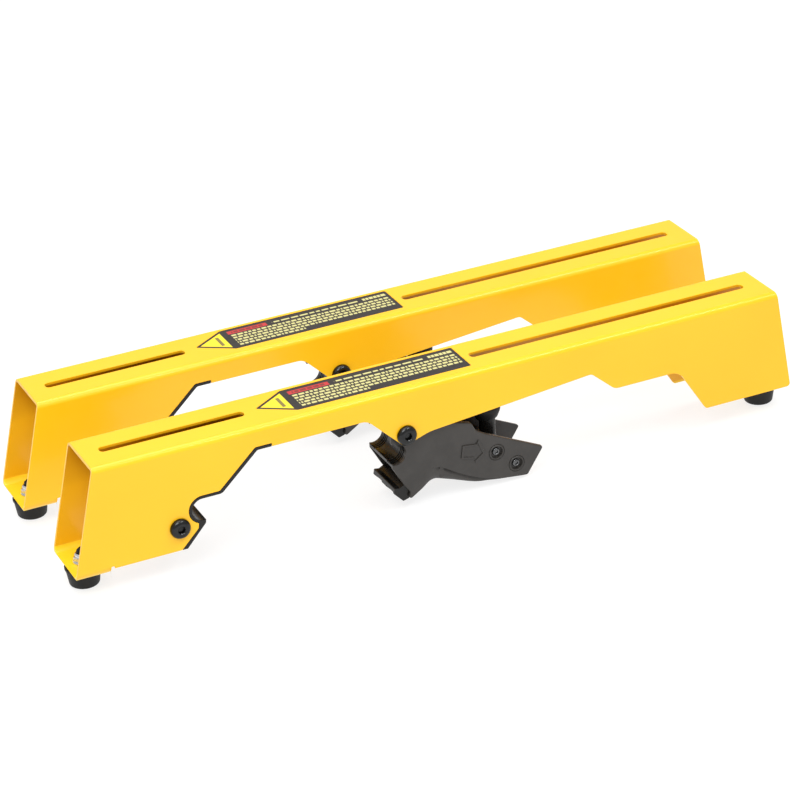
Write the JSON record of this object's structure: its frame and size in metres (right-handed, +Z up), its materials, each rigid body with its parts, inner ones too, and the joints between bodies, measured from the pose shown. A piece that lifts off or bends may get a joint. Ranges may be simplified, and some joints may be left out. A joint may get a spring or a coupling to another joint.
{
  "type": "mitre saw stand bracket set",
  "caption": "Pair of slotted steel channel brackets that carry a mitre saw and clamp to a stand's beam with a fixed hook and a sprung lever.",
  "frame": {"origin": "middle of the footprint, on the surface the feet stand on", "axes": "+X towards the rear of the saw, +Y from the near bracket to the far one, +Z up"},
  "size_m": [0.636, 0.1976, 0.11],
  "materials": {
    "yellow_paint": "semi-gloss powder coat over folded sheet steel",
    "printed_label": "dark printed vinyl with plain bars and no lettering",
    "black_nylon": "moulded nylon, satin",
    "lever_nylon": "glass-filled nylon, satin with a fine texture",
    "foot_rubber": "matt rubber",
    "black_steel": "black oxide on steel, satin",
    "zinc_steel": "bright zinc plate",
    "spring_steel": "oiled spring wire"
  },
  "bodies": {
    "near_bracket": {"near_channel": "yellow_paint", "near_label": "printed_label", "near_hook_liner": "black_nylon", "near_hook_screw": "black_steel", "near_hook_nut": "black_steel", "near_hook_tube": "zinc_steel", "near_pivot_screw": "black_steel", "near_pivot_nut": "black_steel", "near_pivot_tube": "zinc_steel", "near_front_foot": "foot_rubber", "near_front_foot_stud": "black_steel", "near_front_foot_nut": "zinc_steel", "near_rear_foot": "foot_rubber", "near_rear_foot_stud": "black_steel", "near_rear_foot_nut": "zinc_steel", "near_torsion_spring": "spring_steel"},
    "near_lever": {"near_lever_near_half": "lever_nylon", "near_lever_far_half": "lever_nylon", "near_clamp_jaw": "black_nylon", "near_stop_arm": "black_nylon", "near_stop_bumper": "foot_rubber", "near_far_washer": "black_nylon", "near_near_washer": "black_nylon", "near_handle_front_screw": "black_steel", "near_handle_front_nut": "black_steel", "near_handle_rear_screw": "black_steel", "near_handle_rear_nut": "black_steel"},
    "far_bracket": {"far_channel": "yellow_paint", "far_label": "printed_label", "far_hook_liner": "black_nylon", "far_hook_screw": "black_steel", "far_hook_nut": "black_steel", "far_hook_tube": "zinc_steel", "far_pivot_screw": "black_steel", "far_pivot_nut": "black_steel", "far_pivot_tube": "zinc_steel", "far_front_foot": "foot_rubber", "far_front_foot_stud": "black_steel", "far_front_foot_nut": "zinc_steel", "far_rear_foot": "foot_rubber", "far_rear_foot_stud": "black_steel", "far_rear_foot_nut": "zinc_steel", "far_torsion_spring": "spring_steel"},
    "far_lever": {"far_lever_near_half": "lever_nylon", "far_lever_far_half": "lever_nylon", "far_clamp_jaw": "black_nylon", "far_stop_arm": "black_nylon", "far_stop_bumper": "foot_rubber", "far_far_washer": "black_nylon", "far_near_washer": "black_nylon", "far_handle_front_screw": "black_steel", "far_handle_front_nut": "black_steel", "far_handle_rear_screw": "black_steel", "far_handle_rear_nut": "black_steel"}
  },
  "joints": [
    {"name": "near_lever_pivot", "type": "hinge", "parent": "near_bracket", "child": "near_lever", "pos_m": [-0.0356, -0.06585, 0.07], "axis": [0, -1, 0], "range_deg": [0, 26], "stiffness_Nm_per_rad": 1.5, "springref_deg": -45.84, "deforming": ["near_torsion_spring"]},
    {"name": "bracket_spacing", "type": "slide", "parent": "near_bracket", "child": "far_bracket", "axis": [0, 1, 0], "range_m": [-0.05, 0.35]},
    {"name": "far_lever_pivot", "type": "hinge", "parent": "far_bracket", "child": "far_lever", "pos_m": [-0.0356, 0.06245, 0.07], "axis": [0, -1, 0], "range_deg": [0, 26], "stiffness_Nm_per_rad": 1.5, "springref_deg": -45.84, "deforming": ["far_torsion_spring"]}
  ]
}
